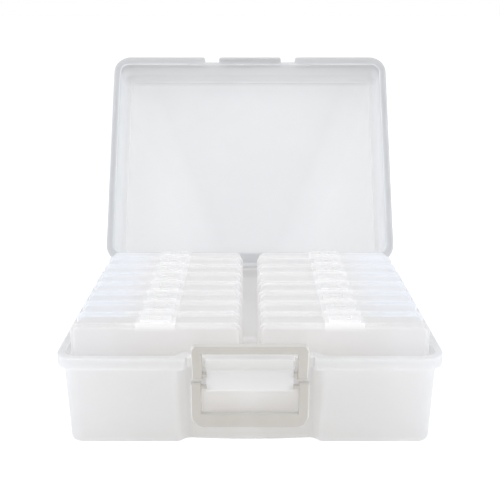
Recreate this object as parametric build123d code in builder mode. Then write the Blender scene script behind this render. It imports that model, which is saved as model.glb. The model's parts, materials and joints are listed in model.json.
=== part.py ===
from build123d import *
import os
from math import acos, atan, cos, degrees, radians, sin, sqrt, tan

# A large keeper case, lid open, with sixteen inner cases standing in its tray in two columns.
# Millimetres. X runs to the right, Y to the back and Z up. The origin is the centre of the tray's
# underside. The lid stands open at its stop and the latch bail leans forward, unlatched.

# ---------------------------------------------------------------- driving dimensions

# inner cases
rows = 8
row_gap = 0.5                   # between one case and the next in a column
column_gap = 17.5               # between the two columns
case_width = 166.0              # along X, over the flange
case_height = 120.0             # standing height, over the flange
case_thickness = 31.6           # along Y, over the latch pad
case_wall = 1.5
case_flange = 2.0               # how far the parting flange stands out of the body
case_flange_thickness = 1.6
case_corner = 8.0               # radius of the body's corners, seen from the front
case_back_round = 5.0           # rounding of the box's back edges
case_lid_round = 3.0            # rounding of the lid's front edges
case_lid_depth = 4.7            # from the lid's face to the parting plane
case_parting_gap = 0.1          # between the lid's rim and the box's rim
pad_proud = 0.8                 # latch pad in front of the lid's face
pad_width = 38.0
pad_drop = 4.5                  # how far the pad reaches down the lid's face
tongue_reach = 17.0             # of the latch tongue, behind the lid's face
tongue_thickness = 1.6
tongue_gap = 0.1                # between the flange and the tongue above it
latch_block_width = 30.0
latch_block_depth = 14.0
latch_block_rise = 1.5
window_width = 13.0             # the opening in the latch block
window_depth = 8.0
catch_clearance = 0.5           # round the catch in its window
small_hinge_spread = 100.0      # between an inner case's two hinges
small_barrel_length = 10.0
small_barrel_radius = 2.2
small_stub_radius = 1.0
small_stub_clearance = 0.1
small_ear_thickness = 2.0
small_hinge_gap = 0.2           # beside the barrel and round the ears

# tray of the large case
tray_height = 95.0              # up to the rim's top face, the parting plane
tray_wall = 2.0
tray_floor = 2.0
tray_draft = 2.0                # degrees, the walls lean outwards
tray_corner = 10.0              # inside corner radius at the floor
tray_foot_round = 6.0           # outer rounding along the bottom edge
side_clearance = 2.05           # between the cases and the side walls, at the floor
front_clearance = 0.8           # between the cases and the recess wall
back_clearance = 0.7            # between the cases and the back wall, at the floor

# rim of the tray and of the lid
rim_side = 5.5                  # how far the rim stands out of the side walls
rim_front = 7.5                 # and out of the front and back walls
rim_corner = 22.0
rim_plate = 2.0
rim_lip = 11.0                  # height of the lip round the rim, down on the tray, up on the lid
rim_lip_wall = 2.0
parting_gap = 0.2               # between the tray's rim and the closed lid's
tab_width = 86.0                # of the tab in the middle of the front rim
notch_width = 19.0              # on each side of the tab
notch_round = 3.0

# recess in the front wall
recess_width = 123.0            # of the recess wall, between its slanted sides
recess_side_angle = 45.0        # degrees, of the sides to the recess wall
recess_set_back = 7.8           # of the recess wall behind the front wall, at the floor
recess_bow = 3.0                # the recess wall is bowed forward by this at its middle
recess_inner_round = 6.0        # corners at the recess wall
recess_outer_round = 8.0        # corners at the front wall

# pivot block in the recess, a ribbed shell that is open below
block_end_gap = 4.0             # between the block and the bail's arms
block_front = 4.2               # in front of the pivots
block_below = 3.5               # below the handle's pivots
block_wall = 2.5
block_end_wall = 3.0
block_ribs = 3
block_rib_wall = 1.6
block_round = 1.5

# latch bail and carry handle
ring_thickness = 6.0            # along Y
ring_wall_clearance = 0.5       # between the arms and the notches' back edges
arm_width = 10.0
arm_end = 5.0                   # how far an arm reaches past its pivot
pivot_spacing = 12.8            # between the bail's pivots and the handle's
bail_pivot_below_rim = 17.0
bail_width = 111.0
bail_bar_height = 9.5
bail_seat_clearance = 0.3       # between the latched bail and the lid's tab
bail_outer_round = 6.5
bail_lean = 20.0                # degrees, forward of its latched place
handle_width = 114.0
handle_drop = 27.6              # from its pivots down to the top of its bar
handle_bar_height = 14.6
handle_outer_round = 13.0
handle_shoulder_round = 6.0
ring_inner_round = 2.5
ring_edge_round = 1.6
ring_end_round = 2.9            # over the arms' ends, seen from the side
peg_radius = 2.3
peg_clearance = 0.1

# lid of the large case
lid_headroom = 6.0              # between the inner cases' latches and the lid's border
lid_wall = 2.0
lid_draft = 4.0
lid_top_round = 9.0
lid_panel_border = 13.2         # from the top's edge to its raised panel
lid_panel_rise = 2.0
lid_panel_slope = 35.0          # degrees off vertical
lid_panel_round = 6.0
lid_open = 120.5                # degrees, where the lid rests on its stop
locating_rib = 2.5              # how far the lid's rib reaches into the tray
locating_rib_wall = 1.6
locating_clearance = 0.6
tab_top_plate = 2.0

# hinge of the large case
hinge_spread = 220.0            # between the outer two of the three hinges
hinge_set_back = 6.0            # of the axis behind the rim
knuckle_length = 24.0
knuckle_radius = 4.2
knuckle_gap = 0.3               # between a knuckle and a lug
knuckle_arm_thickness = 3.6
knuckle_arm_lift = 0.6          # above the parting plane
lug_thickness = 4.0
lug_radius = 4.5
lug_slope = 40.0                # degrees, of the lugs' undersides
stub_radius = 2.0
stub_clearance = 0.1
stub_length = 3.6
heel_reach = 8.0                # of the stop heel, from the axis
heel_thickness = 2.4
heel_gap = 0.25

# ---------------------------------------------------------------- derived places

rows_depth = rows * case_thickness + (rows - 1) * row_gap
floor_half_x = column_gap / 2 + case_width + side_clearance
floor_depth = rows_depth + front_clearance + back_clearance + recess_set_back
floor_half_y = floor_depth / 2
first_row_y = -floor_half_y + recess_set_back + front_clearance
recess_wall_y = -floor_half_y + recess_set_back - tray_wall

draft_spread = tray_height * tan(radians(tray_draft))
cavity_spread = (tray_height - tray_floor) * tan(radians(tray_draft))
wall_top_x = floor_half_x + tray_wall + draft_spread
wall_top_y = floor_half_y + tray_wall + draft_spread
wall_top_corner = tray_corner + tray_wall + draft_spread
rim_x = wall_top_x + rim_side
rim_y = wall_top_y + rim_front
mouth_x = floor_half_x + cavity_spread
mouth_y = floor_half_y + cavity_spread
mouth_corner = tray_corner + cavity_spread
front_straight_middle = (tab_width / 2 + notch_width + rim_x - rim_corner) / 2

ring_y = -wall_top_y - ring_wall_clearance - ring_thickness / 2
lid_rim_z = tray_height + parting_gap
tab_top_z = lid_rim_z + rim_lip
bail_pivot_z = tray_height - bail_pivot_below_rim
handle_pivot_z = bail_pivot_z - pivot_spacing
bail_rise = tab_top_z + bail_seat_clearance - bail_pivot_z + arm_end
handle_fall = handle_drop + arm_end
bail_inner_x = bail_width / 2 - arm_width
handle_inner_x = handle_width / 2 - arm_width

block_half_x = bail_inner_x - block_end_gap
block_front_y = ring_y - block_front
block_depth = recess_wall_y - block_front_y
peg_end_x = block_half_x - block_end_wall + peg_clearance
block_bottom_z = handle_pivot_z - block_below
block_top_z = tray_height - rim_lip
chamber_room = 2 * (block_half_x - block_end_wall) - block_ribs * block_rib_wall
chamber_width = chamber_room / (block_ribs + 1)
chamber_depth = block_depth - recess_bow - block_wall - tray_wall

case_top_z = tray_floor + case_height + tongue_gap + tongue_thickness + latch_block_rise
lid_border_z = case_top_z + lid_headroom + lid_wall
lid_rise = lid_border_z - lid_rim_z
panel_x = wall_top_x - lid_panel_border
panel_y = wall_top_y - lid_panel_border
ledge_x = mouth_x - locating_clearance - locating_rib_wall
ledge_y = mouth_y - locating_clearance - locating_rib_wall
ledge_corner = mouth_corner - locating_clearance - locating_rib_wall
rib_break = recess_width + 2 * (rim_y + recess_wall_y) + 4 * tray_wall

hinge_y = rim_y + hinge_set_back
hinge_z = tray_height
hinge_places = (-hinge_spread / 2, 0, hinge_spread / 2)
lug_offset = knuckle_length / 2 + knuckle_gap
lug_places = [(x + side * lug_offset, side) for x in hinge_places for side in (-1, 1)]
lug_tangent_y = hinge_y + lug_radius * cos(radians(lug_slope))
lug_tangent_z = hinge_z - lug_radius * sin(radians(lug_slope))
heel_half = heel_thickness / 2
heel_corner = sqrt(heel_reach**2 + heel_half**2)
heel_below = degrees(atan(heel_half / heel_reach) + acos((hinge_set_back - heel_gap) / heel_corner))
heel_angle = 180 + heel_below + lid_open

lid_back_y = pad_proud + case_lid_depth
box_front_y = lid_back_y + case_parting_gap
parting_y = lid_back_y + case_parting_gap / 2
small_axis_z = small_barrel_radius + small_hinge_gap
tongue_z = case_height + tongue_gap
window_y = pad_proud + tongue_reach - latch_block_depth / 2
catch_top_z = tongue_z + tongue_thickness


# ---------------------------------------------------------------- outlines shared by tray and lid

def rim_outline(inset):
    """The rim seen from above, with the tab between its two notches, drawn in by the inset."""
    notch_x = (tab_width + notch_width) / 2
    notch_y = -rim_y + rim_front / 2
    with BuildSketch() as outline:
        RectangleRounded(2 * (rim_x - inset), 2 * (rim_y - inset), rim_corner - inset)
        with Locations((notch_x, notch_y), (-notch_x, notch_y)):
            Rectangle(notch_width + 2 * inset, rim_front + 2 * inset, mode=Mode.SUBTRACT)
        front_points = outline.vertices().group_by(Axis.Y)[0]
        fillet(front_points.filter_by(lambda v: abs(v.X) < front_straight_middle), notch_round - inset)
    return outline.sketch


def recess_outline(margin):
    """The recess seen from above, grown by the margin and open to the front."""
    half_x = recess_width / 2 + margin * tan(radians(recess_side_angle / 2))
    back_y = recess_wall_y + margin
    front_y = -rim_y - rim_front
    spread = (back_y - front_y) / tan(radians(recess_side_angle))
    with BuildSketch() as outline:
        with BuildLine():
            ThreePointArc((-half_x, back_y), (0, back_y - recess_bow), (half_x, back_y))
            Polyline(
                (half_x, back_y),
                (half_x + spread, front_y),
                (-half_x - spread, front_y),
                (-half_x, back_y),
            )
        make_face()
    return outline.sketch


def recess_edges(shape):
    """The upright edges where the recess turns, as the inner pair and the outer pair."""
    upright = shape.edges().filter_by(
        lambda e: e.bounding_box().size.Z > tray_height / 2
        and e.center().Y < recess_wall_y / 2
        and abs(e.center().X) < recess_width
    )
    by_depth = upright.sort_by(Axis.Y)
    return by_depth[-2:], by_depth[:2]


rim_face = rim_outline(0)
rim_inside_face = rim_outline(rim_lip_wall)
recess_face = recess_outline(0)
recess_inside_face = recess_outline(tray_wall)

# ---------------------------------------------------------------- tray

with BuildPart() as tray_cavity:
    with BuildSketch(Plane.XY.offset(tray_floor)):
        RectangleRounded(2 * floor_half_x, 2 * floor_half_y, tray_corner)
    extrude(amount=tray_height - tray_floor, taper=-tray_draft)
    with BuildSketch(Plane.XY):
        add(recess_inside_face)
    extrude(amount=tray_height, mode=Mode.SUBTRACT)
    fillet(recess_edges(tray_cavity)[0], recess_inner_round + tray_wall)
    fillet(recess_edges(tray_cavity)[1], recess_outer_round - tray_wall)
    fillet(tray_cavity.faces().sort_by(Axis.Z)[0].edges(), tray_foot_round - tray_floor)

with BuildPart() as case_base:
    with BuildSketch(Plane.XY):
        RectangleRounded(
            2 * (floor_half_x + tray_wall), 2 * (floor_half_y + tray_wall), tray_corner + tray_wall
        )
    extrude(amount=tray_height, taper=-tray_draft)
    with BuildSketch(Plane.XY):
        add(recess_face)
    extrude(amount=tray_height, mode=Mode.SUBTRACT)
    fillet(recess_edges(case_base)[0], recess_inner_round)
    fillet(recess_edges(case_base)[1], recess_outer_round)
    fillet(case_base.faces().sort_by(Axis.Z)[0].edges(), tray_foot_round)

    # rim plate, and the lip that hangs round it
    with BuildSketch(Plane.XY.offset(tray_height - rim_plate)):
        add(rim_face)
    extrude(amount=rim_plate)
    with BuildSketch(Plane.XY.offset(tray_height - rim_lip)):
        add(rim_face)
        add(rim_inside_face, mode=Mode.SUBTRACT)
    extrude(amount=rim_lip)

    # pivot block under the tab
    with BuildSketch(Plane.YZ) as block_side:
        with Locations((recess_wall_y, block_bottom_z)):
            Rectangle(block_depth, block_top_z - block_bottom_z, align=(Align.MAX, Align.MIN))
        fillet(block_side.vertices().group_by(Axis.X)[0], block_round)
    extrude(amount=block_half_x, both=True)

    # hinge lugs, in pairs
    for lug_x, side in lug_places:
        with BuildSketch(Plane.YZ.offset(lug_x)):
            with Locations((hinge_y, hinge_z)):
                Circle(lug_radius)
            with BuildLine():
                Polyline(
                    (rim_y - rim_lip_wall, tray_height - rim_lip),
                    (rim_y, tray_height - rim_lip),
                    (lug_tangent_y, lug_tangent_z),
                    (hinge_y, hinge_z),
                    (rim_y - rim_lip_wall, hinge_z),
                    close=True,
                )
            make_face()
        extrude(amount=side * lug_thickness)

    # what is taken out: the inside, the block's chambers and the pivot holes
    add(tray_cavity.part, mode=Mode.SUBTRACT)
    with BuildSketch(Plane.XY.offset(block_bottom_z)):
        with Locations((0, block_front_y + block_wall + chamber_depth / 2)):
            with GridLocations(chamber_width + block_rib_wall, chamber_depth, block_ribs + 1, 1):
                Rectangle(chamber_width, chamber_depth)
    extrude(amount=block_top_z - block_wall - block_bottom_z, mode=Mode.SUBTRACT)
    for side in (-1, 1):
        with BuildSketch(Plane.YZ.offset(side * block_half_x)):
            with Locations((ring_y, bail_pivot_z), (ring_y, handle_pivot_z)):
                Circle(peg_radius + peg_clearance)
        extrude(amount=-side * block_end_wall, mode=Mode.SUBTRACT)
    for lug_x, side in lug_places:
        with BuildSketch(Plane.YZ.offset(lug_x)):
            with Locations((hinge_y, hinge_z)):
                Circle(stub_radius + stub_clearance)
        extrude(amount=side * lug_thickness, mode=Mode.SUBTRACT)

# ---------------------------------------------------------------- lid of the large case

with BuildPart() as lid_cavity:
    with BuildSketch(Plane.XY.offset(lid_rim_z)):
        RectangleRounded(
            2 * (wall_top_x - lid_wall), 2 * (wall_top_y - lid_wall), wall_top_corner - lid_wall
        )
    extrude(amount=lid_rise - lid_wall, taper=lid_draft)
    fillet(lid_cavity.faces().sort_by(Axis.Z)[-1].edges(), lid_top_round - lid_wall)
    with BuildSketch(Plane.XY.offset(lid_border_z - lid_wall)):
        RectangleRounded(2 * panel_x, 2 * panel_y, lid_panel_round)
    extrude(amount=lid_panel_rise, taper=lid_panel_slope)

with BuildPart() as closed_lid:
    with BuildSketch(Plane.XY.offset(lid_rim_z)):
        RectangleRounded(2 * wall_top_x, 2 * wall_top_y, wall_top_corner)
    extrude(amount=lid_rise, taper=lid_draft)
    fillet(closed_lid.faces().sort_by(Axis.Z)[-1].edges(), lid_top_round)
    with BuildSketch(Plane.XY.offset(lid_border_z)):
        RectangleRounded(2 * panel_x, 2 * panel_y, lid_panel_round)
    extrude(amount=lid_panel_rise, taper=lid_panel_slope)
    add(lid_cavity.part, mode=Mode.SUBTRACT)

    # rim plate with a ledge inside, its lip, and the closed top of the tab
    with BuildSketch(Plane.XY.offset(lid_rim_z)):
        add(rim_face)
        RectangleRounded(2 * ledge_x, 2 * ledge_y, ledge_corner, mode=Mode.SUBTRACT)
    extrude(amount=rim_plate)
    with BuildSketch(Plane.XY.offset(lid_rim_z)):
        add(rim_face)
        add(rim_inside_face, mode=Mode.SUBTRACT)
    extrude(amount=rim_lip)
    with BuildSketch(Plane.XY.offset(tab_top_z - tab_top_plate)):
        add(rim_face)
        with Locations((0, -rim_y)):
            Rectangle(
                tab_width, rim_front + lid_wall, align=(Align.CENTER, Align.MIN), mode=Mode.INTERSECT
            )
    extrude(amount=tab_top_plate)

    # locating rib that drops into the tray's mouth, left out over the front recess
    with BuildSketch(Plane.XY.offset(lid_rim_z)):
        RectangleRounded(
            2 * (ledge_x + locating_rib_wall),
            2 * (ledge_y + locating_rib_wall),
            ledge_corner + locating_rib_wall,
        )
        RectangleRounded(2 * ledge_x, 2 * ledge_y, ledge_corner, mode=Mode.SUBTRACT)
        with Locations((0, -mouth_y)):
            Rectangle(rib_break, mouth_y, mode=Mode.SUBTRACT)
    extrude(amount=-locating_rib)

    # hinge knuckles with their arms, stop heels and stub pins
    for hinge_x in hinge_places:
        with BuildSketch(Plane.YZ.offset(hinge_x - knuckle_length / 2)):
            with Locations((hinge_y, hinge_z)):
                Circle(knuckle_radius)
                Rectangle(
                    heel_reach, heel_thickness, rotation=heel_angle, align=(Align.MIN, Align.CENTER)
                )
            with Locations((hinge_y, lid_rim_z + knuckle_arm_lift)):
                Rectangle(
                    hinge_set_back + rim_lip_wall, knuckle_arm_thickness, align=(Align.MAX, Align.MIN)
                )
        extrude(amount=knuckle_length)
        with BuildSketch(Plane.YZ.offset(hinge_x - knuckle_length / 2 - stub_length)):
            with Locations((hinge_y, hinge_z)):
                Circle(stub_radius)
        extrude(amount=knuckle_length + 2 * stub_length)

# ---------------------------------------------------------------- latch bail and carry handle

with BuildPart() as latched_bail:
    with BuildSketch(Plane.XZ.offset(-ring_y - ring_thickness / 2)) as bail_front:
        with Locations((0, bail_pivot_z - arm_end)):
            Rectangle(
                bail_width,
                bail_rise + bail_bar_height,
                align=(Align.CENTER, Align.MIN),
            )
            Rectangle(
                2 * bail_inner_x,
                bail_rise,
                align=(Align.CENTER, Align.MIN),
                mode=Mode.SUBTRACT,
            )
        corners = bail_front.vertices()
        fillet(corners.group_by(Axis.Y)[-1], bail_outer_round)
        fillet(corners.group_by(Axis.Y)[-2], ring_inner_round)
    extrude(amount=ring_thickness)
    fillet(latched_bail.faces().filter_by(Axis.Y).edges(), ring_edge_round)
    with BuildSketch(Plane.YZ) as bail_side:
        with Locations((ring_y, bail_pivot_z - arm_end)):
            Rectangle(ring_thickness, bail_rise + bail_bar_height, align=(Align.CENTER, Align.MIN))
        fillet(bail_side.vertices().group_by(Axis.Y)[0], ring_end_round)
    extrude(amount=bail_width / 2, both=True, mode=Mode.INTERSECT)
    for side in (-1, 1):
        with BuildSketch(Plane.YZ.offset(side * bail_inner_x)):
            with Locations((ring_y, bail_pivot_z)):
                Circle(peg_radius)
        extrude(amount=-side * (bail_inner_x - peg_end_x))

with BuildPart() as carry_handle:
    with BuildSketch(Plane.XZ.offset(-ring_y - ring_thickness / 2)) as handle_front:
        with Locations((0, handle_pivot_z + arm_end)):
            Rectangle(
                handle_width,
                handle_fall + handle_bar_height,
                align=(Align.CENTER, Align.MAX),
            )
            Rectangle(
                2 * handle_inner_x,
                handle_fall,
                align=(Align.CENTER, Align.MAX),
                mode=Mode.SUBTRACT,
            )
        corners = handle_front.vertices()
        fillet(corners.group_by(Axis.Y)[0], handle_outer_round)
        fillet(corners.group_by(Axis.Y)[1], ring_inner_round)
        fillet(
            corners.group_by(Axis.Y)[-1].filter_by(lambda v: abs(v.X) > handle_inner_x + arm_width / 2),
            handle_shoulder_round,
        )
    extrude(amount=ring_thickness)
    fillet(carry_handle.faces().filter_by(Axis.Y).edges(), ring_edge_round)
    with BuildSketch(Plane.YZ) as handle_side:
        with Locations((ring_y, handle_pivot_z + arm_end)):
            Rectangle(ring_thickness, handle_fall + handle_bar_height, align=(Align.CENTER, Align.MAX))
        fillet(handle_side.vertices().group_by(Axis.Y)[-1], ring_end_round)
    extrude(amount=handle_width / 2, both=True, mode=Mode.INTERSECT)
    for side in (-1, 1):
        with BuildSketch(Plane.YZ.offset(side * handle_inner_x)):
            with Locations((ring_y, handle_pivot_z)):
                Circle(peg_radius)
        extrude(amount=-side * (handle_inner_x - peg_end_x))

# ---------------------------------------------------------------- one inner case, at the origin

# Its front is at y = 0, its underside at z = 0 and its middle at x = 0.

def case_outline(inset):
    """The body of an inner case seen from the front, drawn in by the inset."""
    with BuildSketch() as outline:
        with Locations((0, inset)):
            Rectangle(
                case_width - 2 * case_flange - 2 * inset,
                case_height - case_flange - 2 * inset,
                align=(Align.CENTER, Align.MIN),
            )
        fillet(outline.vertices(), case_corner - inset)
    return outline.sketch


def flange_outline():
    """The parting flange, round the ends and the top of an inner case."""
    with BuildSketch() as outline:
        Rectangle(case_width, case_height, align=(Align.CENTER, Align.MIN))
        fillet(outline.vertices(), case_corner)
    return outline.sketch


body_face = case_outline(0)
body_inside_face = case_outline(case_wall)
flange_face = flange_outline()
ear_offset = small_barrel_length / 2 + small_hinge_gap
ear_places = [
    (end * small_hinge_spread / 2 + side * ear_offset, side) for end in (-1, 1) for side in (-1, 1)
]

with BuildPart() as box_cavity:
    with BuildSketch(Plane.XZ.offset(-case_thickness + case_wall)):
        add(body_inside_face)
    extrude(amount=case_thickness - case_wall - box_front_y)
    fillet(box_cavity.faces().sort_by(Axis.Y)[-1].edges(), case_back_round - case_wall)

with BuildPart() as lid_hollow:
    with BuildSketch(Plane.XZ.offset(-lid_back_y)):
        add(body_inside_face)
    extrude(amount=case_lid_depth - case_wall)
    fillet(lid_hollow.faces().sort_by(Axis.Y)[0].edges(), case_lid_round - case_wall)

with BuildPart() as inner_box:
    with BuildSketch(Plane.XZ.offset(-case_thickness)):
        add(body_face)
    extrude(amount=case_thickness - box_front_y)
    fillet(inner_box.faces().sort_by(Axis.Y)[-1].edges(), case_back_round)
    with BuildSketch(Plane.XZ.offset(-box_front_y - case_flange_thickness)):
        add(flange_face)
    extrude(amount=case_flange_thickness)
    add(box_cavity.part, mode=Mode.SUBTRACT)
    with BuildSketch(Plane.XY.offset(case_height - case_flange - case_wall / 2)):
        with Locations((0, window_y)):
            Rectangle(window_width - 2 * catch_clearance, window_depth - 2 * catch_clearance)
    extrude(amount=catch_top_z - case_height + case_flange + case_wall / 2)
    with BuildSketch(Plane.XY):
        with Locations((-small_hinge_spread / 2, parting_y), (small_hinge_spread / 2, parting_y)):
            Rectangle(
                small_barrel_length + 2 * small_hinge_gap,
                2 * (small_barrel_radius + small_hinge_gap),
            )
    extrude(amount=small_axis_z + small_barrel_radius + small_hinge_gap, mode=Mode.SUBTRACT)
    for ear_x, side in ear_places:
        with BuildSketch(Plane.YZ.offset(ear_x)):
            with Locations((parting_y, small_axis_z)):
                Circle(small_barrel_radius)
                Rectangle(
                    small_barrel_radius + case_flange_thickness,
                    2 * small_barrel_radius,
                    align=(Align.MIN, Align.CENTER),
                )
        extrude(amount=side * small_ear_thickness)
        with BuildSketch(Plane.YZ.offset(ear_x)):
            with Locations((parting_y, small_axis_z)):
                Circle(small_stub_radius + small_stub_clearance)
        extrude(amount=side * small_ear_thickness, mode=Mode.SUBTRACT)

with BuildPart() as inner_lid:
    with BuildSketch(Plane.XZ.offset(-lid_back_y)):
        add(body_face)
    extrude(amount=case_lid_depth)
    fillet(inner_lid.faces().sort_by(Axis.Y)[0].edges(), case_lid_round)
    with BuildSketch(Plane.XZ.offset(-lid_back_y)):
        add(flange_face)
    extrude(amount=case_flange_thickness)
    add(lid_hollow.part, mode=Mode.SUBTRACT)
    for ear_x, side in ear_places:
        with BuildSketch(Plane.XY):
            with Locations((ear_x + side * small_ear_thickness / 2, lid_back_y)):
                Rectangle(
                    small_ear_thickness + 2 * small_hinge_gap,
                    2 * (small_barrel_radius + small_hinge_gap),
                )
        extrude(amount=small_axis_z + small_barrel_radius + small_hinge_gap, mode=Mode.SUBTRACT)
    for end in (-1, 1):
        barrel_x = end * small_hinge_spread / 2
        with BuildSketch(Plane.YZ.offset(barrel_x - small_barrel_length / 2)):
            with Locations((parting_y, small_axis_z)):
                Circle(small_barrel_radius)
        extrude(amount=small_barrel_length)
        stub_reach = small_barrel_length / 2 + small_hinge_gap + small_ear_thickness
        with BuildSketch(Plane.YZ.offset(barrel_x - stub_reach)):
            with Locations((parting_y, small_axis_z)):
                Circle(small_stub_radius)
        extrude(amount=2 * stub_reach)

    # latch: a pad on the face, a tongue over the flanges, and a block with the catch's window
    with BuildSketch(Plane.XY.offset(tongue_z)):
        Rectangle(pad_width, pad_proud + tongue_reach, align=(Align.CENTER, Align.MIN))
    extrude(amount=tongue_thickness)
    with BuildSketch(Plane.XY.offset(case_height - case_flange - pad_drop)):
        Rectangle(pad_width, pad_proud + case_lid_round, align=(Align.CENTER, Align.MIN))
    extrude(amount=tongue_z - case_height + case_flange + pad_drop)
    with BuildSketch(Plane.XY.offset(tongue_z)):
        with Locations((0, window_y)):
            Rectangle(latch_block_width, latch_block_depth)
    extrude(amount=tongue_thickness + latch_block_rise)
    with BuildSketch(Plane.XY.offset(tongue_z)):
        with Locations((0, window_y)):
            Rectangle(window_width, window_depth)
    extrude(amount=tongue_thickness + latch_block_rise, mode=Mode.SUBTRACT)

# ---------------------------------------------------------------- every piece in its place

hinge_axis = Axis((0, hinge_y, hinge_z), (1, 0, 0))
bail_axis = Axis((0, ring_y, bail_pivot_z), (1, 0, 0))

pieces = {
    "case_base": case_base.part,
    "case_lid": closed_lid.part.rotate(hinge_axis, -lid_open),
    "latch_bail": latched_bail.part.rotate(bail_axis, bail_lean),
    "carry_handle": carry_handle.part,
}
for column, side in (("left", -1), ("right", 1)):
    for row in range(rows):
        place = Pos(
            side * (column_gap + case_width) / 2,
            first_row_y + row * (case_thickness + row_gap),
            tray_floor,
        )
        pieces[f"inner_box_{column}_{row + 1}"] = place * inner_box.part
        pieces[f"inner_lid_{column}_{row + 1}"] = place * inner_lid.part

os.makedirs("parts", exist_ok=True)
for name, piece in pieces.items():
    piece.label = name
    export_step(piece, f"parts/{name}.step")
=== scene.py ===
"""A photo keeper case of frosted plastic, lid open, with sixteen inner cases standing in its tray.

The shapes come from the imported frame. This script gives every piece its finish, and sets up the
floor, the light and the camera. Lengths are in metres, X to the right, Y to the back and Z up.
"""

import json
import math
import bmesh
import bpy
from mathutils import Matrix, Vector


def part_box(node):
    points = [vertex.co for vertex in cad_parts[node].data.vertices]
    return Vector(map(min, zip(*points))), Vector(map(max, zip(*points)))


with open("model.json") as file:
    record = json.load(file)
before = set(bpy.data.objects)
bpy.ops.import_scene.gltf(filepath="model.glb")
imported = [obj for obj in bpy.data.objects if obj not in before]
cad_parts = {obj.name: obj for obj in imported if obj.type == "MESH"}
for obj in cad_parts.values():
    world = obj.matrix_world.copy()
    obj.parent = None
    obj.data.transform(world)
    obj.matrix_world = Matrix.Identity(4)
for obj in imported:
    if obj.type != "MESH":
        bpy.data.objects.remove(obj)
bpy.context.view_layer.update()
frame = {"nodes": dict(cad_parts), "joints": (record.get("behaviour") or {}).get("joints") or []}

# ---------------------------------------------------------------- camera, from the photograph

PHOTO_SIDE = 500                # the photograph's width and height, in pixels
FOCAL_PIXELS = 817.2
SENSOR_WIDTH = 36.0             # millimetres
CAMERA_BACK = 0.8605            # in front of the tray's middle
CAMERA_HEIGHT = 0.4126
CAMERA_PITCH = math.radians(16.30)

# ---------------------------------------------------------------- light and floor

WHITE = (1.0, 1.0, 1.0)
COOL = (0.80, 0.88, 1.0)
SKY_STRENGTH = 0.548            # the light from all round
BACKDROP_STRENGTH = 1.0         # what the camera sees of it
TOP_BOX = {"size": (0.42, 0.90), "at": (0.0, 0.15, 1.25), "power": 2.3}
RIGHT_BOX = {"size": (0.80, 1.00), "at": (1.20, -0.30, 0.60), "power": 5.2}
LEFT_BOX = dict(RIGHT_BOX, at=(-1.20, -0.30, 0.60))
FRONT_BOX = {"size": (1.60, 0.60), "at": (0.0, -1.90, 0.70), "power": 7.9}
AIM = (0.0, 0.0, 0.12)          # where the soft boxes point

FLOOR_RADIUS = 60.0
FLOOR_SIDES = 64
FLOOR_DROP = 0.0002             # keeps the floor clear of the tray's underside
FLOOR_GLOW = 0.164              # light the floor gives the case
FLOOR_WHITE = 0.60              # light the camera sees it give, so that it meets the backdrop
PAPER_COLOUR = (0.93, 0.93, 0.93)
PAPER_ROUGHNESS = 0.9
PAPER_SHINE = 0.2

# ---------------------------------------------------------------- finish

PLASTIC_IOR = 1.49
GRAIN_STRENGTH = 0.4
EVEN_SPREAD = (1.0, 1.0, 1.0)   # light of every colour spreads as far in a wall
UPWARD_HIGHLIGHT_SHARE = 0.55             # how much an edge that faces up counts in the painted edge highlight, beside one that faces out

# painted glow in the plastic's own colour, standing in for light the milky plastic passes from
# wall to wall
TRAY_PAINTED_GLOW = 0.10
LID_PAINTED_GLOW = 0.075
CASE_PAINTED_GLOW = 0.137

# ---------------------------------------------------------------- the pieces

BOX_PIECES = sorted(name for name in frame["nodes"] if name.startswith("inner_box"))
COVER_PIECES = sorted(name for name in frame["nodes"] if name.startswith("inner_lid"))
LID_JOINT = next(joint for joint in frame["joints"] if joint["name"] == "lid_hinge")
LID_LEAN = math.radians(-LID_JOINT["range_deg"][0])
HINGE = Vector(LID_JOINT["pos_m"])
LID_UP = Vector((0.0, math.sin(LID_LEAN), math.cos(LID_LEAN)))     # off the lid's rim, to its top
LID_OUT = Vector((0.0, -math.cos(LID_LEAN), math.sin(LID_LEAN)))   # from the hinge to the tab
FIRST_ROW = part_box("inner_lid_left_1")[0].y                        # the front of the first case
ROW_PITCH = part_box("inner_lid_left_2")[0].y - FIRST_ROW


# ---------------------------------------------------------------- nodes

def opaque(colour):
    """A colour with its alpha, as a socket takes it."""
    return (*colour, 1.0)


def noise(tree, position, scale, detail, roughness):
    """A noise texture read at a position; scale is a socket, in cells per metre."""
    node = tree.nodes.new("ShaderNodeTexNoise")
    tree.links.new(position, node.inputs["Vector"])
    tree.links.new(scale, node.inputs["Scale"])
    node.inputs["Detail"].default_value = detail
    node.inputs["Roughness"].default_value = roughness
    return node.outputs["Fac"]


def remap(tree, value, low, high, to_low, to_high):
    """Maps value from low..high to to_low..to_high, held at the ends."""
    node = tree.nodes.new("ShaderNodeMapRange")
    tree.links.new(value, node.inputs["Value"])
    ends = (("From Min", low), ("From Max", high), ("To Min", to_low), ("To Max", to_high))
    for title, end in ends:
        if isinstance(end, float):
            node.inputs[title].default_value = end
        else:
            tree.links.new(end, node.inputs[title])
    return node.outputs["Result"]


def mix_colour(tree, factor, first, second, blend="MIX"):
    """Blends the second colour over the first by the factor."""
    node = tree.nodes.new("ShaderNodeMix")
    node.data_type = "RGBA"
    node.blend_type = blend
    for title, value in (("Factor", factor), ("A", first), ("B", second)):
        socket = next(s for s in node.inputs if s.name == title and s.enabled)
        if isinstance(value, tuple):
            socket.default_value = value
        else:
            tree.links.new(value, socket)
    return next(s for s in node.outputs if s.enabled)


def math_node(tree, operation, *values):
    """One step of arithmetic on numbers or sockets."""
    node = tree.nodes.new("ShaderNodeMath")
    node.operation = operation
    for socket, value in zip(node.inputs, values):
        if isinstance(value, float):
            socket.default_value = value
        else:
            tree.links.new(value, socket)
    return node.outputs["Value"]


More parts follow.
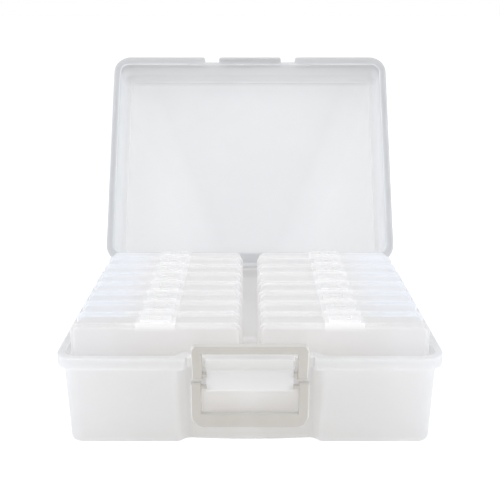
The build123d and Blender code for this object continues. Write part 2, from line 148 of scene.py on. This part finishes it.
def vector_node(tree, operation, first, second):
    """One step of arithmetic on two vector sockets."""
    node = tree.nodes.new("ShaderNodeVectorMath")
    node.operation = operation
    tree.links.new(first, node.inputs[0])
    tree.links.new(second, node.inputs[1])
    return node


def split(tree, vector):
    """The X, Y and Z of a vector socket."""
    node = tree.nodes.new("ShaderNodeSeparateXYZ")
    tree.links.new(vector, node.inputs["Vector"])
    return node.outputs


# ---------------------------------------------------------------- shader groups

def new_group(name, inputs, outputs):
    """A shader group with named sockets, and its two end nodes."""
    group = bpy.data.node_groups.new(name, "ShaderNodeTree")
    for title, kind, value in inputs:
        socket = group.interface.new_socket(name=title, in_out="INPUT", socket_type=kind)
        if value is not None:
            socket.default_value = value
    for title, kind in outputs:
        group.interface.new_socket(name=title, in_out="OUTPUT", socket_type=kind)
    start = group.nodes.new("NodeGroupInput")
    end = group.nodes.new("NodeGroupOutput")
    return group, start, end


def milky_flow():
    """Plastic that is cloudier in some places, as the melt flowed while it was moulded."""
    group, start, end = new_group(
        "milky_flow",
        [
            ("Position", "NodeSocketVector", None),
            ("Clear", "NodeSocketColor", (0.9, 0.9, 0.9, 1.0)),
            ("Cloudy", "NodeSocketColor", (0.8, 0.8, 0.8, 1.0)),
            ("Scale", "NodeSocketFloat", 12.0),
        ],
        [("Color", "NodeSocketColor")],
    )
    cloud = noise(
        group, start.outputs["Position"], start.outputs["Scale"], detail=3.0, roughness=0.55
    )
    factor = remap(group, cloud, low=0.35, high=0.68, to_low=0.0, to_high=1.0)
    colour = mix_colour(group, factor, start.outputs["Clear"], start.outputs["Cloudy"])
    group.links.new(colour, end.inputs["Color"])
    return group


def mould_grain():
    """The fine grain of a spark-eroded mould over a slow ripple of the wall, as a height."""
    group, start, end = new_group(
        "mould_grain",
        [
            ("Position", "NodeSocketVector", None),
            ("Grain", "NodeSocketFloat", 2200.0),
            ("Ripple", "NodeSocketFloat", 40.0),
            ("Ripple Share", "NodeSocketFloat", 0.5),
        ],
        [("Height", "NodeSocketFloat")],
    )
    position = start.outputs["Position"]
    grain = noise(group, position, start.outputs["Grain"], detail=2.0, roughness=0.6)
    ripple = noise(group, position, start.outputs["Ripple"], detail=1.0, roughness=0.4)
    shared = math_node(group, "MULTIPLY", ripple, start.outputs["Ripple Share"])
    total = math_node(group, "ADD", grain, shared)
    group.links.new(total, end.inputs["Height"])
    return group


def handling_rub():
    """Roughness that changes where hands and other cases have rubbed the surface."""
    group, start, end = new_group(
        "handling_rub",
        [
            ("Position", "NodeSocketVector", None),
            ("Fresh", "NodeSocketFloat", 0.35),
            ("Rubbed", "NodeSocketFloat", 0.5),
            ("Scale", "NodeSocketFloat", 25.0),
        ],
        [("Roughness", "NodeSocketFloat")],
    )
    rub = noise(
        group, start.outputs["Position"], start.outputs["Scale"], detail=4.0, roughness=0.6
    )
    rough = remap(
        group, rub, low=0.35, high=0.7,
        to_low=start.outputs["Fresh"], to_high=start.outputs["Rubbed"],
    )
    group.links.new(rough, end.inputs["Roughness"])
    return group


def fade_along():
    """A mask from one to nothing along a direction, the same on the left and the right."""
    group, start, end = new_group(
        "fade_along",
        [
            ("Position", "NodeSocketVector", None),
            ("Origin", "NodeSocketVector", (0.0, 0.0, 0.0)),
            ("Direction", "NodeSocketVector", (0.0, 0.0, 1.0)),
            ("Full", "NodeSocketFloat", 0.010),
            ("Gone", "NodeSocketFloat", 0.014),
        ],
        [("Mask", "NodeSocketFloat")],
    )
    place = split(group, start.outputs["Position"])
    mirrored = group.nodes.new("ShaderNodeCombineXYZ")
    group.links.new(math_node(group, "ABSOLUTE", place["X"]), mirrored.inputs["X"])
    group.links.new(place["Y"], mirrored.inputs["Y"])
    group.links.new(place["Z"], mirrored.inputs["Z"])
    away = vector_node(group, "SUBTRACT", mirrored.outputs["Vector"], start.outputs["Origin"])
    along = vector_node(
        group, "DOT_PRODUCT", away.outputs["Vector"], start.outputs["Direction"]
    )
    mask = remap(
        group, along.outputs["Value"], low=start.outputs["Full"], high=start.outputs["Gone"],
        to_low=1.0, to_high=0.0,
    )
    group.links.new(mask, end.inputs["Mask"])
    return group


def case_depth():
    """A mask from one to nothing over part of each inner case's depth, the same in every row."""
    group, start, end = new_group(
        "case_depth",
        [
            ("Position", "NodeSocketVector", None),
            ("First Row", "NodeSocketFloat", 0.0),
            ("Pitch", "NodeSocketFloat", 0.03),
            ("Full", "NodeSocketFloat", 0.1),
            ("Gone", "NodeSocketFloat", 0.2),
        ],
        [("Mask", "NodeSocketFloat")],
    )
    place = split(group, start.outputs["Position"])
    past_first = math_node(group, "SUBTRACT", place["Y"], start.outputs["First Row"])
    rows = math_node(group, "DIVIDE", past_first, start.outputs["Pitch"])
    share = math_node(group, "FRACT", rows)
    mask = remap(
        group, share, low=start.outputs["Full"], high=start.outputs["Gone"],
        to_low=1.0, to_high=0.0,
    )
    group.links.new(mask, end.inputs["Mask"])
    return group


def painted_edge_highlight():
    """A mask of the rounded edges that face outwards or upwards, where a highlight is painted as
    light would catch them.
    """
    group, start, end = new_group(
        "painted_edge_highlight",
        [("Position", "NodeSocketVector", None), ("Facing", "NodeSocketVector", None)],
        [("Mask", "NodeSocketFloat")],
    )
    place = split(group, start.outputs["Position"])
    facing = split(group, start.outputs["Facing"])
    side = math_node(group, "SIGN", place["X"])
    outward = math_node(group, "MULTIPLY", side, facing["X"])
    upward = math_node(group, "MULTIPLY", facing["Z"], UPWARD_HIGHLIGHT_SHARE)
    most = math_node(group, "MAXIMUM", outward, upward)
    mask = remap(group, most, low=0.25, high=0.85, to_low=0.0, to_high=1.0)
    group.links.new(mask, end.inputs["Mask"])
    return group


MILKY_FLOW = milky_flow()
MOULD_GRAIN = mould_grain()
HANDLING_RUB = handling_rub()
FADE_ALONG = fade_along()
CASE_DEPTH = case_depth()
PAINTED_EDGE_HIGHLIGHT = painted_edge_highlight()


# ---------------------------------------------------------------- zones of painted light and shade on a wall

def grey(value):
    """A tint that is the same in every colour."""
    return (value, value, value)


def fade(direction, near, far, origin=(0.0, 0.0, 0.0)):
    """A limit on how far a zone lies along a direction: full at near, gone at far."""
    return FADE_ALONG, {
        "Origin": tuple(origin), "Direction": tuple(direction), "Full": near, "Gone": far,
    }


def across(near, far):
    """A limit on how far to the side a zone lies."""
    return fade((1.0, 0.0, 0.0), near, far)


def behind(near, far):
    """A limit on how far back a zone lies."""
    return fade((0.0, 1.0, 0.0), near, far)


def height(near, far):
    """A limit on how high a zone lies."""
    return fade((0.0, 0.0, 1.0), near, far)


def off_lid(near, far):
    """A limit on how far a zone lies from the lid's rim towards its top."""
    return fade(LID_UP, near, far, HINGE)


def along_lid(near, far):
    """A limit on how far a zone lies from the hinge towards the tab."""
    return fade(LID_OUT, near, far, HINGE)


def beside_lid(near, far, lean):
    """A limit on how far to the side a zone of the lid lies, leaning out towards the tab."""
    return fade(Vector((1.0, 0.0, 0.0)) - lean * LID_OUT, near, far, HINGE)


def case_share(near, far):
    """A limit on how far back in an inner case a zone lies, as a share of the rows' pitch."""
    return CASE_DEPTH, {
        "First_Row": FIRST_ROW, "Pitch": ROW_PITCH, "Full": near, "Gone": far,
    }


# the tray
TRAY_FRONT = behind(-0.10, -0.08)
TRAY_LIP = height(0.085, 0.084)

# the lid
LID_PANEL = off_lid(0.0370, 0.0365)
LID_WALL = (off_lid(0.0365, 0.0370), off_lid(0.0125, 0.0115))
LID_RIM = off_lid(0.0115, 0.0125)
TAB_WALL = along_lid(0.280, 0.271)
SHORT_OF_TAB_WALL = along_lid(0.271, 0.280)

# the inner cases
FIRST_CASES = behind(-0.098, -0.097)
LATER_CASES = behind(-0.097, -0.098)
WITHIN_ROW_ENDS = across(0.122, 0.128)
LATCHES = (height(0.1175, 0.1170), across(0.0725, 0.0720), across(0.1110, 0.1115))
LATCH_TOPS = height(0.1240, 0.1235)
LATCH_FRONTS = behind(-0.1225, -0.1222)


# ---------------------------------------------------------------- materials

def place_group(tree, group, position, **values):
    """Puts a group in a material, reads it at the position and sets its named inputs."""
    node = tree.nodes.new("ShaderNodeGroup")
    node.node_tree = group
    tree.links.new(position, node.inputs["Position"])
    for title, value in values.items():
        node.inputs[title.replace("_", " ")].default_value = value
    return node


def plastic(name, clear, cloudy, cloud_scale, rub, grain, depth, see_through, milk, glow,
            shine=0.5, painted_light_zones=(), edge_highlight=None):
    """A moulded plastic with cloudy colour, rubbed roughness and mould grain.

    rub is the roughness fresh and rubbed, depth the height of the grain, see_through the share of
    light that passes and milk how far light spreads in the wall. glow is painted light: the wall
    gives out light in its own colour. Each of the zones is painted light or painted shade on a
    part of the
    wall: a colour that multiplies, then its limits. The edge colour, if given, is a painted
    highlight on the rounded edges that face outwards or upwards.
    """
    material = bpy.data.materials.new(name)
    material.use_nodes = True
    tree = material.node_tree
    tree.nodes.clear()
    coordinates = tree.nodes.new("ShaderNodeTexCoord")
    place = coordinates.outputs["Object"]
    shader = tree.nodes.new("ShaderNodeBsdfPrincipled")
    output = tree.nodes.new("ShaderNodeOutputMaterial")
    tree.links.new(shader.outputs["BSDF"], output.inputs["Surface"])

    flow = place_group(
        tree, MILKY_FLOW, place, Clear=opaque(clear), Cloudy=opaque(cloudy), Scale=cloud_scale
    )
    colour = flow.outputs["Color"]
    # each zone multiplies painted light or painted shade into the colour
    for painted_tint, *limits in painted_light_zones:
        mask = None
        for group, values in limits:
            limit = place_group(tree, group, place, **values).outputs["Mask"]
            mask = limit if mask is None else math_node(tree, "MULTIPLY", mask, limit)
        colour = mix_colour(tree, mask, colour, opaque(painted_tint), "MULTIPLY")
    # a painted highlight on the rounded edges that face outwards or upwards
    if edge_highlight:
        highlight_mask = place_group(tree, PAINTED_EDGE_HIGHLIGHT, place)
        tree.links.new(coordinates.outputs["Normal"], highlight_mask.inputs["Facing"])
        colour = mix_colour(tree, highlight_mask.outputs["Mask"], colour, opaque(edge_highlight))
    tree.links.new(colour, shader.inputs["Base Color"])
    # the wall gives out light in its own colour: painted glow, standing in for light spread
    # through the milky plastic
    tree.links.new(colour, shader.inputs["Emission Color"])

    rubbed = place_group(tree, HANDLING_RUB, place, Fresh=rub[0], Rubbed=rub[1])
    tree.links.new(rubbed.outputs["Roughness"], shader.inputs["Roughness"])

    mould = place_group(tree, MOULD_GRAIN, place, Grain=grain)
    bump = tree.nodes.new("ShaderNodeBump")
    bump.inputs["Strength"].default_value = GRAIN_STRENGTH
    bump.inputs["Distance"].default_value = depth
    tree.links.new(mould.outputs["Height"], bump.inputs["Height"])
    tree.links.new(bump.outputs["Normal"], shader.inputs["Normal"])

    shader.inputs["IOR"].default_value = PLASTIC_IOR
    shader.inputs["Specular IOR Level"].default_value = shine
    shader.inputs["Transmission Weight"].default_value = see_through
    shader.inputs["Subsurface Weight"].default_value = 1.0 if milk else 0.0
    shader.inputs["Subsurface Radius"].default_value = EVEN_SPREAD
    shader.inputs["Subsurface Scale"].default_value = milk
    shader.inputs["Emission Strength"].default_value = glow
    return material


FROSTED_TRAY = plastic(
    "frosted_tray", clear=(0.875, 0.868, 0.862), cloudy=(0.845, 0.838, 0.832), cloud_scale=9.0,
    rub=(0.36, 0.48), grain=2200.0, depth=0.00006, see_through=0.20, milk=0.02, glow=TRAY_PAINTED_GLOW,
    painted_light_zones=[
        # painted light on the front wall towards its ends, and painted shade along its foot
        ((1.100, 1.105, 1.125), across(0.175, 0.110), behind(-0.140, -0.090)),
        ((0.950, 0.950, 0.945), height(0.010, 0.032), behind(-0.100, 0.050)),
        # painted shade on the lip all round, and painted light on the stretch above the recess
        (grey(0.940), TRAY_LIP),
        ((1.120, 1.120, 1.110), TRAY_LIP, across(0.060, 0.061), TRAY_FRONT),
        # painted shade on the recess below the handle, and painted light on it behind the handle
        ((0.960, 0.960, 0.945), height(0.026, 0.032), across(0.058, 0.066), TRAY_FRONT),
        ((1.110, 1.100, 1.080), height(0.056, 0.058), height(0.030, 0.024),
         across(0.056, 0.060), TRAY_FRONT),
        # painted light on the foot of the back wall, seen between the columns
        (grey(1.150), height(0.030, 0.060), behind(0.125, 0.120)),
    ],
)

FROSTED_LID = plastic(
    "frosted_lid", clear=(0.825, 0.828, 0.835), cloudy=(0.795, 0.798, 0.805), cloud_scale=9.0,
    rub=(0.36, 0.48), grain=2200.0, depth=0.00006, see_through=0.20, milk=0.02, glow=LID_PAINTED_GLOW,
    painted_light_zones=[
        # painted light on the top panel towards its sides
        (grey(1.140), beside_lid(0.070, 0.020, lean=0.41), LID_PANEL),
        # painted shade on the wall by the tab with its rim, and lighter painted shade on the other
        # walls
        (grey(0.835), TAB_WALL),
        (grey(0.955), *LID_WALL, SHORT_OF_TAB_WALL),
        # painted light on the tab, and painted shade on the rim of the other walls
        (grey(1.070), along_lid(0.300, 0.297), across(0.052, 0.053)),
        ((0.885, 0.885, 0.890), LID_RIM, SHORT_OF_TAB_WALL),
    ],
)

CLEAR_CASE = plastic(
    "clear_inner_case", clear=(0.910, 0.900, 0.900), cloudy=(0.885, 0.875, 0.875),
    cloud_scale=14.0, rub=(0.29, 0.36), grain=1800.0, depth=0.00002, see_through=0.12, milk=0.02,
    glow=CASE_PAINTED_GLOW, shine=0.8,
    painted_light_zones=[
        # painted bluish light on the outer ends of the rows from the first cases' backs on, and
        # painted shade on the first cases' faces
        ((1.040, 1.070, 1.110), across(0.135, 0.115), behind(-0.098, -0.104)),
        ((0.960, 0.950, 0.935), across(0.120, 0.160), height(0.117, 0.118),
         behind(-0.118, -0.117)),
        # painted highlight on each case's flange, and painted shade on its rounded back
        (grey(1.090), case_share(0.16, 0.20), height(0.118, 0.117), WITHIN_ROW_ENDS),
        (grey(0.920), case_share(0.95, 0.45), height(0.112, 0.108), WITHIN_ROW_ENDS),
        # painted shade on the latches of the later cases; on the first cases' latches, a painted
        # highlight on top and painted shade in front
        (grey(0.940), *LATCHES, LATER_CASES),
        (grey(1.090), LATCH_TOPS, FIRST_CASES),
        ((0.890, 0.880, 0.870), *LATCHES, LATCH_FRONTS),
    ],
)

# the handle and bail, with a painted highlight on the edges that face outwards or upwards
CREAM_LATCH = plastic(
    "cream_latch_plastic", clear=(0.575, 0.548, 0.503), cloudy=(0.548, 0.521, 0.476),
    cloud_scale=30.0, rub=(0.38, 0.50), grain=2600.0, depth=0.00005, see_through=0.0, milk=0.0,
    glow=0.0, edge_highlight=(0.82, 0.81, 0.78),
)


def dress(names, material):
    """Gives the named pieces one finish."""
    for name in names:
        mesh = frame["nodes"][name].data
        mesh.materials.clear()
        mesh.materials.append(material)


dress(["case_base"], FROSTED_TRAY)
dress(["case_lid"], FROSTED_LID)
dress(BOX_PIECES + COVER_PIECES, CLEAR_CASE)
dress(["latch_bail", "carry_handle"], CREAM_LATCH)


# ---------------------------------------------------------------- floor, light and camera

def white_paper():
    """Matt paper that the camera sees as white as the backdrop, and that lights the case less."""
    paper = bpy.data.materials.new("white_paper")
    paper.use_nodes = True
    tree = paper.node_tree
    shader = tree.nodes["Principled BSDF"]
    shader.inputs["Base Color"].default_value = opaque(PAPER_COLOUR)
    shader.inputs["Roughness"].default_value = PAPER_ROUGHNESS
    shader.inputs["Specular IOR Level"].default_value = PAPER_SHINE
    shader.inputs["Emission Color"].default_value = opaque(WHITE)
    seen = tree.nodes.new("ShaderNodeLightPath").outputs["Is Camera Ray"]
    glow = remap(tree, seen, low=0.0, high=1.0, to_low=FLOOR_GLOW, to_high=FLOOR_WHITE)
    tree.links.new(glow, shader.inputs["Emission Strength"])
    return paper


def make_floor():
    """A wide disc of white paper under the case."""
    mesh = bpy.data.meshes.new("floor")
    shape = bmesh.new()
    bmesh.ops.create_circle(shape, cap_ends=True, radius=FLOOR_RADIUS, segments=FLOOR_SIDES)
    shape.to_mesh(mesh)
    shape.free()
    floor = bpy.data.objects.new("floor", mesh)
    floor.location.z = -FLOOR_DROP
    bpy.context.scene.collection.objects.link(floor)
    mesh.materials.append(white_paper())


def soft_box(name, colour, size, at, power):
    """A rectangle of soft light, turned to the case."""
    light = bpy.data.lights.new(name, "AREA")
    light.color = colour
    light.shape = "RECTANGLE"
    light.size, light.size_y = size
    light.energy = power
    lamp = bpy.data.objects.new(name, light)
    lamp.location = at
    lamp.rotation_euler = (Vector(AIM) - Vector(at)).to_track_quat("-Z", "Y").to_euler()
    bpy.context.scene.collection.objects.link(lamp)


def set_sky():
    """Soft light from all round, in front of a white backdrop."""
    world = bpy.data.worlds.new("studio")
    world.use_nodes = True
    tree = world.node_tree
    light = tree.nodes["Background"]
    light.inputs["Color"].default_value = opaque(WHITE)
    light.inputs["Strength"].default_value = SKY_STRENGTH
    backdrop = tree.nodes.new("ShaderNodeBackground")
    backdrop.inputs["Color"].default_value = opaque(WHITE)
    backdrop.inputs["Strength"].default_value = BACKDROP_STRENGTH
    seen = tree.nodes.new("ShaderNodeLightPath")
    choose = tree.nodes.new("ShaderNodeMixShader")
    tree.links.new(seen.outputs["Is Camera Ray"], choose.inputs["Fac"])
    tree.links.new(light.outputs["Background"], choose.inputs[1])
    tree.links.new(backdrop.outputs["Background"], choose.inputs[2])
    tree.links.new(choose.outputs["Shader"], tree.nodes["World Output"].inputs["Surface"])
    bpy.context.scene.world = world


def set_camera():
    """The photograph's camera, in front of the case and looking a little down."""
    camera = bpy.data.cameras.new("photo_camera")
    camera.sensor_width = SENSOR_WIDTH
    camera.lens = FOCAL_PIXELS / PHOTO_SIDE * SENSOR_WIDTH
    eye = bpy.data.objects.new("photo_camera", camera)
    eye.location = (0.0, -CAMERA_BACK, CAMERA_HEIGHT)
    eye.rotation_euler = (math.pi / 2 - CAMERA_PITCH, 0.0, 0.0)
    bpy.context.scene.collection.objects.link(eye)
    bpy.context.scene.camera = eye


make_floor()
soft_box("top_box", WHITE, **TOP_BOX)
soft_box("right_box", COOL, **RIGHT_BOX)
soft_box("left_box", COOL, **LEFT_BOX)
soft_box("front_box", WHITE, **FRONT_BOX)
set_sky()
set_camera()
bpy.context.scene.view_settings.view_transform = "Standard"
